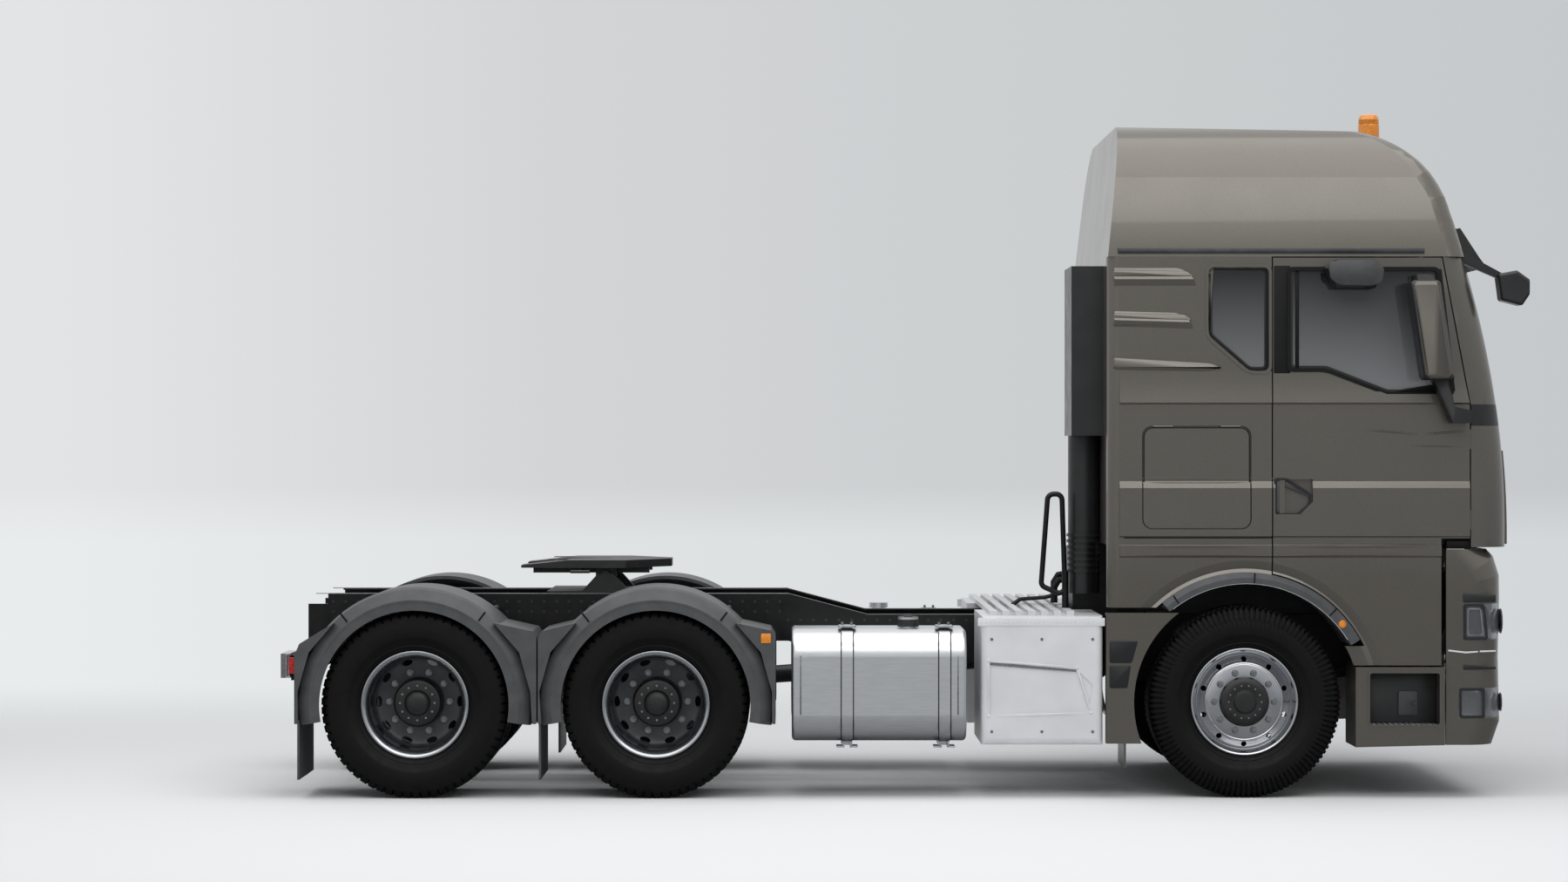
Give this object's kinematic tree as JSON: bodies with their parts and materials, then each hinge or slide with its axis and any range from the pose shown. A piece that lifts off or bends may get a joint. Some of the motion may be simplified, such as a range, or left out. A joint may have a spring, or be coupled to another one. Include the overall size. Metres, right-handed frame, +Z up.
{
  "type": "semi truck tractor unit",
  "caption": "Cab-over tractor unit with a high-roof sleeper cab, tandem drive axles on twin wheels, fuel tanks and a tilting fifth wheel.",
  "frame": {"origin": "on the ground, midway between nose and tail, on the centre plane", "axes": "+X forward, +Y to the vehicle's left, +Z up"},
  "size_m": [7.004, 3, 3.885],
  "materials": {
    "cab_paint": "metallic grey brown, clear coat",
    "chassis_black": "black, semi gloss",
    "grey_plastic": "grained dark grey",
    "black_plastic": "black, satin",
    "brushed_tank": "brushed",
    "polished_alloy": "polished",
    "silver_panel": "silver",
    "cast_iron": "painted black, greased",
    "tyre_rubber": "matt",
    "clear_glass": "slightly tinted",
    "lamp_lens": "clear",
    "orange_lens": "orange lens on a black foot",
    "seat_fabric": "woven"
  },
  "bodies": {
    "chassis": {"frame_rails": "chassis_black", "frame_crossmembers": "chassis_black", "engine_block": "cast_iron", "front_axle_beam": "cast_iron", "drive_axles": "cast_iron", "leaf_springs": "chassis_black", "bumper": "cab_paint", "lamps": "lamp_lens", "entry_steps": "black_plastic", "rear_fenders": "grey_plastic", "tail_bar": "chassis_black", "fuel_tanks": "brushed_tank", "tank_straps": "chassis_black", "side_boxes": "silver_panel", "catwalk": "silver_panel", "front_guards": "cab_paint", "fifth_wheel_base": "cast_iron", "grab_loop": "chassis_black"},
    "fifth_wheel": {"fifth_wheel_plate": "cast_iron"},
    "cab": {"cab_side_right": "cab_paint", "cab_side_left": "cab_paint", "cab_back": "cab_paint", "cab_front": "cab_paint", "windscreen_cowl": "black_plastic", "cab_glass": "clear_glass", "cab_floor": "chassis_black", "cab_roof": "cab_paint", "arch_trims": "grey_plastic", "front_mirror": "black_plastic", "sun_visor": "black_plastic", "beacon": "orange_lens", "seats": "seat_fabric", "bunk": "seat_fabric", "dashboard": "black_plastic", "air_intake": "black_plastic"},
    "door_right": {"door_right": "cab_paint", "door_glass_right": "clear_glass", "door_mirrors_right": "black_plastic"},
    "door_left": {"door_left": "cab_paint", "door_glass_left": "clear_glass", "door_mirrors_left": "black_plastic"},
    "hatch_right": {"hatch_right": "cab_paint"},
    "hatch_left": {"hatch_left": "cab_paint"},
    "front_flap": {"front_flap": "cab_paint"},
    "knuckle_right": {"knuckle_right": "cast_iron"},
    "knuckle_left": {"knuckle_left": "cast_iron"},
    "tie_rod": {"tie_rod": "chassis_black"},
    "front_wheel_right": {"front_rim_right": "polished_alloy", "front_tyre_right": "tyre_rubber"},
    "front_drive_wheel_right": {"front_drive_rims_right": "polished_alloy", "front_drive_tyres_right": "tyre_rubber"},
    "rear_drive_wheel_right": {"rear_drive_rims_right": "polished_alloy", "rear_drive_tyres_right": "tyre_rubber"},
    "front_wheel_left": {"front_rim_left": "polished_alloy", "front_tyre_left": "tyre_rubber"},
    "front_drive_wheel_left": {"front_drive_rims_left": "polished_alloy", "front_drive_tyres_left": "tyre_rubber"},
    "rear_drive_wheel_left": {"rear_drive_rims_left": "polished_alloy", "rear_drive_tyres_left": "tyre_rubber"}
  },
  "joints": [
    {"name": "cab_tilt", "type": "hinge", "parent": "chassis", "child": "cab", "pos_m": [3.279, 0, 1.335], "axis": [0, 1, 0], "range_deg": [0, 60]},
    {"name": "door_right_hinge", "type": "hinge", "parent": "cab", "child": "door_right", "pos_m": [3.1515, -1.218, 2.2], "axis": [0, 0, 1], "range_deg": [0, 75]},
    {"name": "door_left_hinge", "type": "hinge", "parent": "cab", "child": "door_left", "pos_m": [3.1515, 1.218, 2.2], "axis": [0, 0, -1], "range_deg": [0, 75]},
    {"name": "hatch_right_hinge", "type": "hinge", "parent": "cab", "child": "hatch_right", "pos_m": [1.62, -1.218, 2.0815], "axis": [-1, 0, 0], "range_deg": [0, 85]},
    {"name": "hatch_left_hinge", "type": "hinge", "parent": "cab", "child": "hatch_left", "pos_m": [1.62, 1.218, 2.0815], "axis": [1, 0, 0], "range_deg": [0, 85]},
    {"name": "front_flap_hinge", "type": "hinge", "parent": "cab", "child": "front_flap", "pos_m": [3.356, 0, 1.9495], "axis": [0, -1, 0], "range_deg": [0, 80]},
    {"name": "fifth_wheel_tilt", "type": "hinge", "parent": "chassis", "child": "fifth_wheel", "pos_m": [-1.726, 0, 1.222], "axis": [0, 1, 0], "range_deg": [-12, 12]},
    {"name": "steer_left", "type": "hinge", "parent": "chassis", "child": "knuckle_left", "pos_m": [1.894, 0.92, 0.538], "axis": [0, 0, 1], "range_deg": [-40, 40]},
    {"name": "steer_right", "type": "hinge", "parent": "chassis", "child": "knuckle_right", "pos_m": [1.894, -0.92, 0.538], "axis": [0, 0, 1], "range_deg": [-40, 40]},
    {"name": "tie_rod_left", "type": "hinge", "parent": "knuckle_left", "child": "tie_rod", "pos_m": [1.724, 0.92, 0.453], "axis": [0, 0, 1], "range_deg": [-40, 40]},
    {"name": "front_wheel_right_spin", "type": "hinge", "parent": "knuckle_right", "child": "front_wheel_right", "pos_m": [1.894, -1.04, 0.538], "axis": [0, 1, 0], "continuous": true},
    {"name": "front_drive_wheel_right_spin", "type": "hinge", "parent": "chassis", "child": "front_drive_wheel_right", "pos_m": [-1.406, -0.9075, 0.524], "axis": [0, 1, 0], "continuous": true},
    {"name": "rear_drive_wheel_right_spin", "type": "hinge", "parent": "chassis", "child": "rear_drive_wheel_right", "pos_m": [-2.756, -0.9075, 0.524], "axis": [0, 1, 0], "continuous": true},
    {"name": "front_wheel_left_spin", "type": "hinge", "parent": "knuckle_left", "child": "front_wheel_left", "pos_m": [1.894, 1.04, 0.538], "axis": [0, 1, 0], "continuous": true},
    {"name": "front_drive_wheel_left_spin", "type": "hinge", "parent": "chassis", "child": "front_drive_wheel_left", "pos_m": [-1.406, 0.9075, 0.524], "axis": [0, 1, 0], "continuous": true},
    {"name": "rear_drive_wheel_left_spin", "type": "hinge", "parent": "chassis", "child": "rear_drive_wheel_left", "pos_m": [-2.756, 0.9075, 0.524], "axis": [0, 1, 0], "continuous": true}
  ],
  "couplings": [
    {"joint": "steer_right", "follows": "steer_left", "ratio": 1},
    {"joint": "tie_rod_left", "follows": "steer_left", "ratio": -1}
  ]
}
